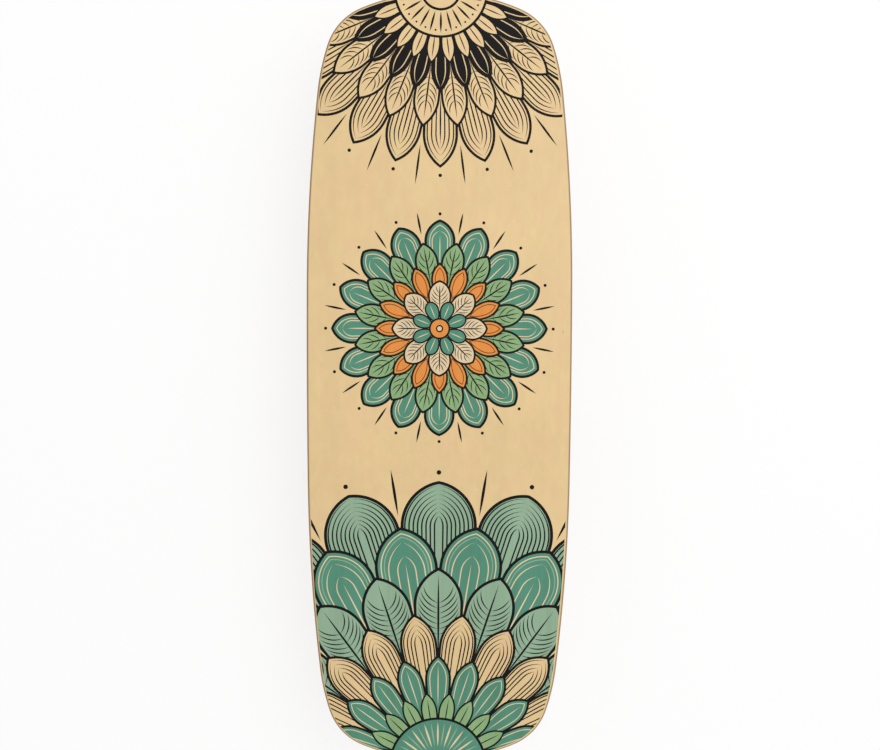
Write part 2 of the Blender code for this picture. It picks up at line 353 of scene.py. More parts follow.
def shared(tree, effect, vector, fineness=1.0):
    """The outputs of a shared effect's node group, built when a material first asks for it."""
    group = bpy.data.node_groups.get(effect.__name__)
    if not group:
        group = bpy.data.node_groups.new(effect.__name__, "ShaderNodeTree")
        for socket, kind in (("Vector", "NodeSocketVector"), ("Fineness", "NodeSocketFloat")):
            group.interface.new_socket(socket, in_out="INPUT", socket_type=kind)
        values = effect(group, *group.nodes.new("NodeGroupInput").outputs[:2])
        for socket in values:
            group.interface.new_socket(socket, in_out="OUTPUT", socket_type="NodeSocketFloat")
        end = group.nodes.new("NodeGroupOutput")
        for socket, value in values.items():
            group.links.new(value, end.inputs[socket])
    return add_node(tree, "Group", {0: vector, 1: fineness}, node_tree=group).outputs


def new_material(name, specular=0.5, metallic=0.0, coat=0.0):
    """A material with plain values on its shader's own sockets, and its node tree."""
    material = bpy.data.materials.new(name)
    material.use_nodes = True
    shader = material.node_tree.nodes["Principled BSDF"].inputs
    shader["Specular IOR Level"].default_value = specular
    shader["Metallic"].default_value = metallic
    shader["Coat Weight"].default_value = coat
    shader["Coat Roughness"].default_value = COAT_ROUGHNESS
    return material, material.node_tree


def finished(material, base, tone, smoothest, roughest, height, depth):
    """Links what varies to the shader: colour, roughness that follows a tone, and height."""
    tree = material.node_tree
    bump = add_node(tree, "Bump", {"Height": height, "Distance": depth, "Strength": 1.0})
    roughness = between(tree, tone, 0.3, 0.7, smoothest, roughest)
    varying = {"Base Color": base, "Roughness": roughness, "Normal": bump.outputs["Normal"]}
    for socket, value in varying.items():
        tree.links.new(value, tree.nodes["Principled BSDF"].inputs[socket])
    return material


def scattered_marks(tree, vector, cell, reach, rarity):
    """A mask of short marks seen from above, one in each cell that passes the rarity."""
    marks = cells(tree, stretched(tree, vector, (1 / cell[0], 1 / cell[1], 0.0)), voronoi_dimensions="2D")
    near = between(tree, marks["Distance"], reach / 3, reach, 1.0, 0.0)
    return times(tree, near, maths(tree, "GREATER_THAN", marks["Color"], rarity))


def birch_face_material(settings):
    """Pale lacquered birch: mottling, faint grain, light flecks, pin knots, and a rounded edge darkened
    partly by its end grain and partly by painted shade.
    """
    material, tree = new_material("lacquered_birch", 0.22, coat=0.05)
    place = place_vector(tree)
    grain = shared(tree, wood_grain, place)
    red, green, blue = settings.face
    pinker = (min(1.0, red * 1.01), green * 0.975, blue * 0.96, 1.0)
    yellower = (red * 0.995, green * 1.01, blue * 0.95, 1.0)
    base = mix(tree, between(tree, grain["Warmth"], 0.35, 0.65), yellower, pinker)
    base = toned(tree, base, grain["Mottle"], 0.36, 0.64, 0.965, 1.035)
    base = toned(tree, base, grain["Tone"], 0.34, 0.66, 0.982, 1.018)
    base = marked(tree, base, grain["Pores"], 0.12, settings.end_grain)
    flecks = scattered_marks(tree, place, (0.030, 0.009), 0.085, 0.80)
    base = marked(tree, base, flecks, 0.55, settings.face, 1.15)
    knots = scattered_marks(tree, place, (0.035, 0.060), 0.040, 0.82)
    base = marked(tree, base, knots, 0.40, settings.end_grain, 0.8)
    # Where the edge rounds over it turns darker: partly the end grain that shows there, partly painted shade
    # as if it turned away from the light.
    rounding = between(tree, facing(tree, "Z"), 0.985, 0.86)
    base = marked(tree, base, rounding, 0.90, settings.end_grain, 0.64)
    return finished(material, base, grain["Tone"], 0.38, 0.48, grain["Height"], 0.00003)


def veneer_edge_material(name, settings, sides, noses):
    """The sanded edge of an inner veneer, with one tone on the sides and one on the noses."""
    material, tree = new_material(name, 0.30)
    grain = shared(tree, wood_grain, place_vector(tree), 1 / 0.6)
    base = mix(tree, between(tree, facing(tree, "Y"), 0.35, 0.85), opaque(sides), opaque(noses))
    base = toned(tree, base, grain["Tone"], 0.34, 0.66, 0.72, 1.14)
    base = marked(tree, base, grain["Pores"], 0.5, settings.end_grain, 0.45)
    return finished(material, base, grain["Tone"], 0.48, 0.64, grain["Height"], 0.00006)


def ink_material(name, ink, wood, show_through):
    """Screen ink under the lacquer, thin enough for the grain to show a little."""
    material, tree = new_material(name, 0.08)
    grain = shared(tree, wood_grain, place_vector(tree))
    base = shaded(tree, between(tree, grain["Tone"], 0.34, 0.66), ink, 0.90, 1.10)
    base = marked(tree, base, grain["Pores"], show_through, wood)
    return finished(material, base, grain["Tone"], 0.40, 0.50, grain["Height"], 0.00002)


def beech_material(settings):
    """Oiled beech with its grain along X and the dark flecks of its rays."""
    material, tree = new_material("oiled_beech", 0.35)
    vector = place_vector(tree, Rotation=(0, 0, QUARTER_TURN))
    grain = shared(tree, wood_grain, vector, 1 / 0.8)
    base = shaded(tree, between(tree, grain["Tone"], 0.32, 0.68), settings.wood, 0.78, 1.12)
    rays = cells(tree, stretched(tree, vector, (1500.0, 330.0, 1500.0)))["Distance"]
    base = marked(tree, base, between(tree, rays, 0.10, 0.30, 1.0, 0.0), 0.55, settings.wood, 0.42)
    return finished(material, base, grain["Tone"], 0.40, 0.54, grain["Height"], 0.00005)


def disc_material(settings):
    """Sanded birch plywood with its face grain upright."""
    material, tree = new_material("sanded_birch", 0.30)
    grain = shared(tree, wood_grain, place_vector(tree, Rotation=(QUARTER_TURN, 0, 0)), 1 / 0.7)
    base = shaded(tree, between(tree, grain["Tone"], 0.34, 0.66), settings.disc, 0.84, 1.14)
    base = marked(tree, base, grain["Pores"], 0.45, settings.disc, 0.40)
    return finished(material, base, grain["Tone"], 0.50, 0.64, grain["Height"], 0.00005)


def rubber_material(settings):
    """Matt black rubber with a fine moulded skin and a little dust."""
    material, tree = new_material("black_rubber", 0.35)
    skin = shared(tree, fine_speckle, place_vector(tree), 2600)
    base = shaded(tree, between(tree, skin["Drift"], 0.45, 0.75, 0.0, 0.5), settings.rubber, 1.0, 2.6)
    return finished(material, base, skin["Speckle"], 0.62, 0.82, skin["Speckle"], 0.00005)


def steel_material(settings):
    """Zinc plated steel with a soft drift of tone and hairline scratches."""
    material, tree = new_material("zinc_plated_steel", metallic=1.0)
    plate = shared(tree, fine_speckle, place_vector(tree), 3400)
    base = shaded(tree, plate["Drift"], settings.steel, 0.86, 1.18)
    base = marked(tree, base, plate["Scratches"], 0.5, settings.steel, 1.4)
    return finished(material, base, plate["Speckle"], 0.24, 0.40, plate["Speckle"], 0.00001)


def cork_material(settings):
    """Pressed cork: granules of many tans, dark seams, flecks of bark and small pits."""
    material, tree = new_material("pressed_cork", 0.22)
    place = place_vector(tree)
    warp = cloud(tree, place, 600.0, 2.0, output="Color")
    bent = vector_maths(tree, "MULTIPLY_ADD", {0: warp, 1: (settings.granule,) * 3, 2: place})
    density = 1.0 / settings.granule
    granules = cells(tree, bent, density)["Color"]
    seams = cells(tree, bent, density, feature="DISTANCE_TO_EDGE")["Distance"]
    tone = add_node(tree, "SeparateColor", {"Color": granules}).outputs
    base = shaded(tree, tone["Red"], settings.cork, 0.74, 1.42)
    speckle = cloud(tree, place, 2400.0, 3.0, 0.6)
    base = marked(tree, base, between(tree, speckle, 0.35, 0.65, 1.0, 0.0), 0.30, settings.cork, 0.45)
    bark = maths(tree, "GREATER_THAN", tone["Green"], 0.90)
    base = marked(tree, base, bark, 0.72, settings.cork, 0.26)
    seam = between(tree, seams, 0.0, 0.10, 0.62, 0.0)
    base = marked(tree, base, seam, 1.0, settings.cork, 0.34)
    pits = between(tree, cloud(tree, place, 900.0, 2.0, 0.5), 0.64, 0.70)
    base = marked(tree, base, pits, 0.6, settings.cork, 0.22)
    height = maths(tree, "SUBTRACT", times(tree, speckle, 0.35), pits)
    height = maths(tree, "SUBTRACT", height, times(tree, seam, 0.5))
    return finished(material, base, speckle, 0.78, 0.92, height, 0.00022)


def wound_tube_material(settings):
    """A tube wound from thin plies, with fine rings and fuzz on its ends."""
    material, tree = new_material("wound_tube", 0.25)
    place = place_vector(tree, Location=-ROLLER_AXIS)
    radius = vector_maths(tree, "LENGTH", {0: stretched(tree, place, (0.0, 1.0, 1.0))}, "Value")
    layer = maths(tree, "MULTIPLY_ADD", cloud(tree, place, 160.0, 2.0, 0.5), 0.0005, radius)
    rings = maths(tree, "SINE", times(tree, layer, WHOLE_TURN / TUBE_PLY))
    fuzz = cloud(tree, place, 2600.0, 3.0, 0.6)
    level = between(tree, maths(tree, "MULTIPLY_ADD", fuzz, 1.2, rings), -0.6, 1.8)
    base = shaded(tree, level, settings.tube, 0.52, 1.16)
    return finished(material, base, fuzz, 0.64, 0.80, level, 0.00008)


def mesh_from(bm, name):
    """Turns a bmesh into a mesh and frees it."""
    mesh = bpy.data.meshes.new(name)
    bm.to_mesh(mesh)
    bm.free()
    return mesh


def add_object(name, data):
    """A new object in the scene."""
    thing = bpy.data.objects.new(name, data)
    bpy.context.scene.collection.objects.link(thing)
    return thing


def add_piece(name, bm, material, body, node=None, keep_flat=False):
    """Makes a bmesh a finished piece that rides on a body and stands for a node, if given."""
    bmesh.ops.recalc_face_normals(bm, faces=bm.faces[:])
    for face in bm.faces:
        face.smooth = not keep_flat or abs(face.normal.z) < LEVEL_NORMAL
    mesh = mesh_from(bm, name)
    mesh.set_sharp_from_angle(angle=SHARP_ANGLE)
    mesh.materials.append(material)
    piece = add_object(name, mesh)
    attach(piece, body)
    if node:
        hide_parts(node)
    return piece


def verts_in(items):
    """The vertices among a bmesh operator's results."""
    return [item for item in items if isinstance(item, bmesh.types.BMVert)]


def everything(bm):
    """All of a bmesh."""
    return bm.verts[:] + bm.edges[:] + bm.faces[:]


def move(bm, way, verts=None):
    """Moves a whole bmesh, or some of its vertices."""
    bmesh.ops.translate(bm, vec=way, verts=bm.verts[:] if verts is None else verts)


def weld(bm, distance=SAME_PLACE):
    """Merges the vertices that lie in the same place."""
    bmesh.ops.remove_doubles(bm, verts=bm.verts[:], dist=distance)


def mirror(bm, axis, distance=SAME_PLACE):
    """Adds a bmesh's mirror image along an axis."""
    bmesh.ops.mirror(bm, geom=everything(bm), matrix=Matrix(), merge_dist=distance, axis=axis)


def spin(bm, geom, angle, steps, axis=ALONG_Z, centre=ORIGIN, **options):
    """Spins part of a bmesh about an axis, and returns what ends the spin."""
    spun = bmesh.ops.spin(bm, geom=geom, cent=centre, axis=axis, angle=angle, steps=steps, **options)
    return spun["geom_last"]


def close_loop(bm):
    """Makes one face of a bmesh's loop of edges."""
    weld(bm)
    bmesh.ops.contextual_create(bm, geom=bm.edges[:])


def draw_line(bm, points):
    """The vertices and the edges of a line through points."""
    verts = [bm.verts.new(point) for point in points]
    return verts, [bm.edges.new(pair) for pair in zip(verts, verts[1:])]


def direction(angle):
    """The level unit vector at an angle from +X."""
    return Vector((math.cos(angle), math.sin(angle), 0.0))


def sweep(bm, vert, centre, turn, chord_error):
    """Spins a vertex about an upright axis into an arc, and returns the vertex at its end."""
    radius = (vert.co - centre).length
    steps = 2
    if radius > chord_error:
        steps = max(2, math.ceil(abs(turn) / (2 * math.acos(1 - chord_error / radius))))
    return verts_in(spin(bm, [vert], turn, steps, centre=centre))[0]


def outline_arcs():
    """Centre, radius, start angle and turn of each arc of a quarter of the real outline."""
    arcs = []
    centre = ORIGIN
    angle = 0.0
    last_radius = OUTLINE_ARCS[0][0]
    for radius, turn in OUTLINE_ARCS:
        centre = centre + (last_radius - radius) * direction(angle)
        arcs.append((centre, radius, angle, turn))
        angle += turn
        last_radius = radius
    scale = DECK_HALF_LENGTH / (centre.y + last_radius)
    middle = Vector((centre.x, 0.0, 0.0))
    return [((place - middle) * scale, radius * scale, start, turn) for place, radius, start, turn in arcs]


def outline_face(inset, chord_error):
    """The deck's outline, drawn in by an inset, as one flat face on z = 0."""
    bm = bmesh.new()
    arcs = outline_arcs()
    centre, radius, start, turn = arcs[0]
    vert = bm.verts.new(centre + (radius - inset) * direction(start))
    for centre, radius, start, turn in arcs:
        vert = sweep(bm, vert, centre, turn, chord_error)
    mirror(bm, "X")
    mirror(bm, "Y")
    close_loop(bm)
    return bm


def thicken(bm, distance):
    """Extrudes the faces of a flat bmesh along Z into a closed solid."""
    extruded = bmesh.ops.extrude_face_region(bm, geom=bm.faces[:])
    move(bm, (0, 0, distance), verts_in(extruded["geom"]))


def round_edges(bm, edges, radius, segments):
    """Rounds edges."""
    rounding = {"affect": "EDGES", "offset_type": "OFFSET", "profile": 0.5, "material": -1}
    bmesh.ops.bevel(bm, geom=edges, offset=radius, segments=segments, **rounding)


def level_edges(bm, height):
    """The edges that lie at a height."""
    return [edge for edge in bm.edges if all(abs(vert.co.z - height) < SAME_PLACE for vert in edge.verts)]


def upright_edges(edges):
    """Those of the edges that stand along Z."""
    return [edge for edge in edges if (edge.verts[0].co - edge.verts[1].co).xy.length < SAME_PLACE]


def open_edges(bm):
    """The edges round openings."""
    return [edge for edge in bm.edges if edge.is_boundary]


def deck_blank(settings, film):
    """The whole deck with rounded edges, its top lower by the thickness of the ink."""
    bm = outline_face(0.0, DECK_CHORD_ERROR)
    top = DECK_TOP - film
    move(bm, (0, 0, DECK_BOTTOM))
    thicken(bm, top - DECK_BOTTOM)
    round_edges(bm, level_edges(bm, DECK_BOTTOM) + level_edges(bm, top), settings.edge_radius, segments=8)
    return bm


def cut_plane(bm, geom, place, outward, **kept):
    """Cuts part of a bmesh at a plane, and returns the cut."""
    plane = {"plane_co": place, "plane_no": outward, "dist": SAME_PLACE / 10}
    return bmesh.ops.bisect_plane(bm, geom=geom, **plane, **kept)["geom_cut"]


def cut_level(bm, height, keep_above, close=True):
    """Keeps what lies above or below a height, and closes the cut if asked."""
    kept = {"clear_inner": keep_above, "clear_outer": not keep_above}
    cut = cut_plane(bm, everything(bm), (0, 0, height), ALONG_Z, **kept)
    if close:
        edges = [item for item in cut if isinstance(item, bmesh.types.BMEdge)]
        bmesh.ops.contextual_create(bm, geom=edges)


def merge_into(bm, part):
    """Adds a bmesh to another and frees it."""
    mesh = mesh_from(part, "part")
    bm.from_mesh(mesh)
    bpy.data.meshes.remove(mesh)


def carve(piece, cutter):
    """Cuts the closed shapes of a bmesh out of a piece."""
    bmesh.ops.recalc_face_normals(cutter, faces=cutter.faces[:])
    for face in cutter.faces:
        face.smooth = True
    whole = piece.data
    mesh = mesh_from(cutter, "cutter")
    modifier = piece.modifiers.new("cut", "BOOLEAN")
    modifier.operation = "DIFFERENCE"
    modifier.solver = "EXACT"
    modifier.object = add_object("cutter", mesh)
    graph = bpy.context.evaluated_depsgraph_get()
    piece.data = bpy.data.meshes.new_from_object(piece.evaluated_get(graph))
    bpy.data.objects.remove(modifier.object)
    piece.modifiers.clear()
    for used in (whole, mesh):
        bpy.data.meshes.remove(used)
    piece.data.name = piece.name
    piece.data.set_sharp_from_angle(angle=SHARP_ANGLE)


def turned(profile, sides, axis=ALONG_Z, across=ALONG_X):
    """A solid turned from (radius, distance) points about an axis through the origin."""
    bm = bmesh.new()
    ring, edges = draw_line(bm, [across * radius + axis * distance for radius, distance in profile])
    if min(radius for radius, distance in profile) > 0.0:
        edges.append(bm.edges.new((ring[-1], ring[0])))
    spin(bm, ring + edges, WHOLE_TURN, sides, axis, use_merge=True)
    weld(bm)
    return bm


def screw_box(screw):
    """The foot of a screw's axis, the radius of its head and its length."""
    low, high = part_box(f"stop_screw_{screw}")
    middle = (low + high) / 2
    return Vector((middle.x, middle.y, low.z)), (high.x - low.x) / 2, high.z - low.z


def drill_screw_holes(piece, thread, screws=SCREWS):
    """Cuts the countersunk holes of screws through a piece."""
    drills = bmesh.new()
    bore = thread + HOLE_CLEARANCE
    for place, head, length in map(screw_box, screws):
        rim = head + HOLE_CLEARANCE
        profile = [
            (0.0, -SCREW_HEAD_HEIGHT),
            (rim, -SCREW_HEAD_HEIGHT),
            (rim, SCREW_HEAD_RIM),
            (bore, SCREW_HEAD_HEIGHT + HOLE_CLEARANCE),
            (bore, length - SCREW_TIP),
            (0.0, length + HOLE_CLEARANCE),
        ]
        drill = turned(profile, SCREW_SIDES)
        move(drill, place)
        merge_into(drills, drill)
    carve(piece, drills)


class Petal(NamedTuple):
    """A petal along +X. Each side is two arcs, which meet at its widest place."""

    base: float
    tip: float
    widest: float
    half_width: float

    def radii(self):
        """The radii of the base and tip arcs."""
        return [
            (reach**2 + self.half_width**2) / (2 * self.half_width)
            for reach in (self.widest - self.base, self.tip - self.widest)
        ]

    def side(self, x, inset):
        """The half width at a place along the petal, drawn in by an inset."""
        radius = self.radii()[0 if x < self.widest else 1]
        rise = (radius - inset) ** 2 - (x - self.widest) ** 2
        return self.half_width - radius + math.sqrt(max(0.0, rise))


def face_points(bm):
    """Frees a bmesh and returns the points of its one face or loop of edges, anticlockwise."""
    if not bm.faces:
        close_loop(bm)
    face = next(iter(bm.faces))
    face.normal_update()
    points = [vert.co.xy for vert in face.verts]
    if face.normal.z < 0:
        points.reverse()
    bm.free()
    return points


def petal_points(petal, inset=0.0):
    """The outline of a petal, drawn in by an inset."""
    bm = bmesh.new()
    for radius, sense in zip(petal.radii(), (1, -1)):
        centre = Vector((petal.widest, petal.half_width - radius, 0.0))
        start = bm.verts.new(centre + Vector((0.0, radius - inset, 0.0)))
        turn = math.acos((radius - petal.half_width) / (radius - inset))
        sweep(bm, start, centre, sense * turn, PRINT_CHORD_ERROR)
    mirror(bm, "Y")
    return face_points(bm)


def stroke_points(start, end, bulge, width):
    """A stroke that tapers to both ends and bulges to the left."""
    bm = bmesh.new()
    start, end = Vector((*start, 0.0)), Vector((*end, 0.0))
    half = (end - start).length / 2
    left = Vector((start.y - end.y, end.x - start.x, 0.0)).normalized()
    for side in (bulge + width / 2, bulge - width / 2):
        radius = (half**2 + side**2) / (2 * side)
        centre = (start + end) / 2 + left * (side - radius)
        sweep(bm, bm.verts.new(start), centre, -2 * math.asin(half / radius), PRINT_CHORD_ERROR)
    return face_points(bm)


def disc_points(radius, along=0.0, segments=96):
    """A round spot at a distance along +X."""
    bm = bmesh.new()
    bmesh.ops.create_circle(bm, cap_ends=True, radius=radius, segments=segments)
    move(bm, (along, 0.0, 0.0))
    return face_points(bm)


def contour(petal, ink, inset, width):
    """A line at an even distance inside a petal. An ink of None is the petal's own fill."""
    return [(ink, petal_points(petal, inset)), (None, petal_points(petal, inset + width))]


def midrib(petal, ink, width, start, end):
    """A tapered line down the middle of a petal, between two shares of its length."""
    first, last = (petal.base + share * (petal.tip - petal.base) for share in (start, end))
    return [(ink, stroke_points((first, 0.0), (last, 0.0), 0.0, width))]


def veins(petal, ink, count, width, inset, lean=0.22):
    """Side veins that leave the middle of a petal and curve towards its tip."""
    length = petal.tip - petal.base
    shapes = []
    for number in range(count):
        root = petal.base + length * (VEIN_START + VEIN_SPREAD * number / count)
        reach = root + length * lean
        end = (reach, max(VEIN_LEAST_REACH, petal.side(reach, inset)))
        points = stroke_points((root, 0.0), end, VEIN_BOW * length, width)
        mirrored = [Vector((point.x, -point.y)) for point in reversed(points)]
        shapes += [(ink, points), (ink, mirrored)]
    return shapes


def nested(petal, ink, count, width, step, model=None):
    """Lines that repeat a petal, or a model of it, inside it, each narrower and shorter."""
    model = model or petal
    shapes = []
    for number in range(1, count + 1):
        half_width = model.half_width * (1 - number / (count + 1))
        for line, side in ((ink, width / 2), (None, -width / 2)):
            inner = model._replace(tip=model.tip - number * step, half_width=half_width + side)
            shapes.append((line, petal_points(inner)))
    return shapes


def petals(per_turn, phase, petal, fill, line, *details):
    """A ring of filled petals with black outlines, and details as functions with their values."""
    shapes = [("black", petal_points(petal)), (fill, petal_points(petal, line))]
    for draw, *values in details:
        shapes += [(ink or fill, points) for ink, points in draw(petal, *values)]
    return per_turn, phase, shapes


def rays(per_turn, phase, ink, start, end, width):
    """A ring of tapered strokes that point outwards."""
    return per_turn, phase, [(ink, stroke_points((start, 0.0), (end, 0.0), 0.0, width))]


def dots(per_turn, phase, radius, along, segments=16):
    """A ring of black dots."""
    return per_turn, phase, [("black", disc_points(radius, along, segments))]


def spots(*inks_and_radii):
    """Round spots laid on each other at the centre of a flower."""
    return 1, 0.0, [(ink, disc_points(radius)) for ink, radius in inks_and_radii]


def medallion_rings():
    """The round flower in the middle of the deck, outermost ring first."""
    outer = Petal(0.050, 0.112, 0.090, 0.0160)
    second = Petal(0.036, 0.090, 0.069, 0.0122)
    third = Petal(0.026, 0.068, 0.051, 0.0090)
    fourth = Petal(0.012, 0.050, 0.034, 0.0122)
    fifth = Petal(0.006, 0.030, 0.021, 0.0074)
    frame_line = (contour, "cream", 0.0050, 0.0009)
    core = (nested, "cream", 1, 0.0010, 0.0120)
    leaf_veins = (veins, "black", 4, 0.0010, 0.0035)
    fine_veins = (veins, "black", 5, 0.0009, 0.0032)
    return [
        rays(16, 0.5, "black", 0.098, 0.121, 0.0022),
        dots(16, 0.0, 0.0016, 0.1175),
        petals(16, 0.0, outer, "teal", 0.0026, frame_line, core, (midrib, "cream", 0.0012, 0.2, 0.74)),
        petals(16, 0.5, second, "green", 0.0022, (midrib, "black", 0.0016, 0.2, 0.92), leaf_veins),
        petals(16, 0.0, third, "orange", 0.0020, (contour, "black", 0.0040, 0.0007)),
        petals(8, 0.5, fourth, "cream", 0.0020, (midrib, "black", 0.0014, 0.2, 0.88), fine_veins),
        petals(8, 0.0, fifth, "teal", 0.0016, (midrib, "cream", 0.0010, 0.2, 0.86)),
        spots(("black", 0.0110), ("orange", 0.0092), ("black", 0.0038), ("cream", 0.0024)),
    ]


def upper_rings():
    """The half flower of black lines that opens from the deck's rear end."""
    outer = Petal(0.074, 0.178, 0.144, 0.0180)
    second = Petal(0.056, 0.138, 0.109, 0.0136)
    third = Petal(0.042, 0.102, 0.080, 0.0098)
    fourth = Petal(0.032, 0.074, 0.057, 0.0070)
    lines = (nested, "black", 3, 0.0013, 0.0060)
    leaf_veins = (veins, "black", 7, 0.0011, 0.0040, 0.16)
    core = (nested, "bare", 1, 0.0011, 0.0050)
    return [
        rays(24, 0.5, "black", 0.156, 0.196, 0.0022),
        dots(24, 0.0, 0.0018, 0.1855),
        petals(24, 0.0, outer, "bare", 0.0026, lines, (midrib, "black", 0.0016, 0.3, 0.78)),
        petals(24, 0.5, second, "bare", 0.0024, (midrib, "black", 0.0017, 0.2, 0.90), leaf_veins),
        petals(24, 0.0, third, "black", 0.0022, (midrib, "bare", 0.0020, 0.3, 0.86), core),
        petals(24, 0.5, fourth, "bare", 0.0016, (midrib, "black", 0.0012, 0.3, 0.86)),
        spots(("black", 0.0480), ("bare", 0.0455)),
        rays(24, 0.0, "black", 0.022, 0.043, 0.0022),
        dots(24, 0.5, 0.0010, 0.0405),
        spots(("black", 0.0210), ("bare", 0.0185)),
    ]


def lower_rings():
    """The large half flower in greens that fills the deck's front end, outermost ring first."""
    outer = Petal(0.150, 0.306, 0.258, 0.0400)
    second = Petal(0.120, 0.260, 0.216, 0.0330)
    arch = Petal(0.120, 0.259, 0.212, 0.0285)
    third = Petal(0.090, 0.214, 0.174, 0.0262)
    fourth = Petal(0.064, 0.166, 0.132, 0.0196)
    fifth = Petal(0.040, 0.120, 0.094, 0.0138)
    sixth = Petal(0.024, 0.080, 0.060, 0.0088)
    second_details = (
        (contour, "cream", 0.0060, 0.0012),
        (contour, "sea", 0.0095, 0.0010),
        (nested, "cream", 2, 0.0012, 0.0150, arch),
        (midrib, "cream", 0.0016, 0.2, 0.72),
    )
    leaf_veins = (veins, "black", 11, 0.0013, 0.0045, 0.15)
    frame_line = (contour, "cream", 0.0046, 0.0009)
    return [
        rays(20, 0.5, "black", 0.272, 0.322, 0.0030),
        dots(20, 0.0, 0.0024, 0.3150, 24),
        petals(20, 0.0, outer, "sea", 0.0032, (nested, "black", 8, 0.0016, 0.0046)),
        petals(20, 0.5, second, "teal", 0.0030, *second_details),
        petals(20, 0.0, third, "sea", 0.0030, leaf_veins, (midrib, "black", 0.0022, 0.2, 0.94)),
        petals(20, 0.5, fourth, "bare", 0.0026, (nested, "black", 4, 0.0013, 0.0056)),
        petals(20, 0.0, fifth, "teal", 0.0024, frame_line, (midrib, "cream", 0.0012, 0.3, 0.86)),
        petals(20, 0.5, sixth, "green", 0.0018, (midrib, "black", 0.0012, 0.3, 0.88)),
        spots(("black", 0.0520), ("teal", 0.0495)),
        rays(20, 0.0, "cream", 0.020, 0.047, 0.0020),
        rays(20, 0.5, "sea", 0.020, 0.047, 0.0014),
    ]


# The ornament's flowers: rings, wedges to a turn, wedges laid, place, heading and reach
FLOWERS = (
    (medallion_rings, 8, 8, (0.0, 0.060, 0.0), 0.0, 0.130),
    (upper_rings, 24, 15, (0.0, 0.402, 0.0), -QUARTER_TURN, 0.210),
    (lower_rings, 20, 13, (0.0, -0.405, 0.0), QUARTER_TURN, 0.340),
)


def onto_borders(point, far):
    """A point moved onto a border of the half wedge if it all but touches it."""
    if abs(point.y) < SAME_PLACE:
        point.y = 0.0
    beyond = point.dot(far)
    return point - beyond * far if abs(beyond) < SAME_PLACE else point


def wedge_shapes(rings, half):
    """The shapes that reach into half a wedge, in the order in which they are laid."""
    far = Vector((-math.sin(half), math.cos(half)))
    reaching = []
    for per_turn, phase, shapes in rings:
        spacing = WHOLE_TURN / per_turn
        numbers = [0] if per_turn == 1 else range(-1, math.ceil(half / spacing) + 2)
        for ink, points in shapes:
            for number in numbers:
                turn = Matrix.Rotation(spacing * (number + phase), 2)
                placed = [onto_borders(turn @ point, far) for point in points]
                above = max(point.y for point in placed) > SAME_PLACE
                if above and min(point.dot(far) for point in placed) < -SAME_PLACE:
                    reaching.append((ink, placed))
    return reaching


def overlaid(shapes, half, reach):
    """A flat bmesh of half a wedge, cut along every outline, each face with its topmost ink."""
    corners = [(0.0, 0.0), (reach, 0.0), (reach * math.cos(half), reach * math.sin(half))]
    points = []
    loops = []
    for outline in [[Vector(corner) for corner in corners]] + [outline for ink, outline in shapes]:
        loops.append(list(range(len(points), len(points) + len(outline))))
        points += outline
    laid = delaunay_2d_cdt(points, [], loops, 0, 2 * SAME_PRINT_PLACE, True)
    bm = bmesh.new()
    verts = [bm.verts.new((place.x, place.y, 0.0)) for place in laid[0]]
    for triangle, sources in zip(laid[2], laid[5]):
        topmost = max(sources, default=0)
        if 0 in sources and topmost > 0 and shapes[topmost - 1][0] in INKS:
            face = bm.faces.new([verts[index] for index in triangle])
            face.material_index = INKS.index(shapes[topmost - 1][0])
    bmesh.ops.delete(bm, geom=[vert for vert in verts if not vert.link_faces], context="VERTS")
    bmesh.ops.dissolve_degenerate(bm, dist=SAME_PRINT_PLACE, edges=bm.edges[:])
    return bm


def laid_flower(rings, wedges, laid, place, heading, reach):
    """A flat bmesh of a flower, in its place."""
    half = math.pi / wedges
    bm = overlaid(wedge_shapes(rings, half), half, reach)
    mirror(bm, "Y", SAME_PRINT_PLACE)
    start = Matrix.Rotation(heading - (laid - 1) * half, 4, "Z")
    bmesh.ops.rotate(bm, matrix=start, cent=ORIGIN, verts=bm.verts[:])
    spin(bm, everything(bm), 2 * half * (laid - 1), laid - 1, use_duplicate=True)
    weld(bm, SAME_PRINT_PLACE)
    move(bm, place)
    return bm


def reaching_beyond(bm, place, outward):
    """The faces that reach beyond a plane, with their edges and vertices."""
    limit = outward.dot(place)
    beyond = [vert for vert in bm.verts if vert.co.dot(outward) > limit]
    faces = list(dict.fromkeys(face for vert in beyond for face in vert.link_faces))
    edges = list(dict.fromkeys(edge for face in faces for edge in face.edges))
    verts = list(dict.fromkeys(vert for face in faces for vert in face.verts))
    return verts + edges + faces


def clip_to_outline(bm, inset, shift):
    """Clears what lies outside the deck's outline, drawn in by an inset and shifted along X."""
    outline = outline_face(inset, PRINT_CHORD_ERROR)
    move(outline, (shift, 0.0, 0.0))
    places = [vert.co.copy() for vert in next(iter(outline.faces)).verts]
    outline.free()
    for place, following in zip(places, places[1:] + places[:1]):
        along = following - place
        outward = Vector((along.y, -along.x, 0.0)).normalized()
        if outward.dot(place) < 0:
            outward.negate()
        cut_plane(bm, reaching_beyond(bm, place, outward), place, outward, clear_outer=True)


def part_patches(bm):
    """Gives patches of a flat bmesh that touch only at a point a corner each."""
    for vert in bm.verts[:]:
        if sum(edge.is_boundary for edge in vert.link_edges) > 2:
            bmesh.utils.vert_separate(vert, [])


def bar(low, high):
    """A rectangular bar between two corners."""
    bm = bmesh.new()
    bmesh.ops.create_cube(bm, size=1.0)
    bmesh.ops.scale(bm, vec=high - low, verts=bm.verts[:])
    move(bm, (low + high) / 2)
    return bm


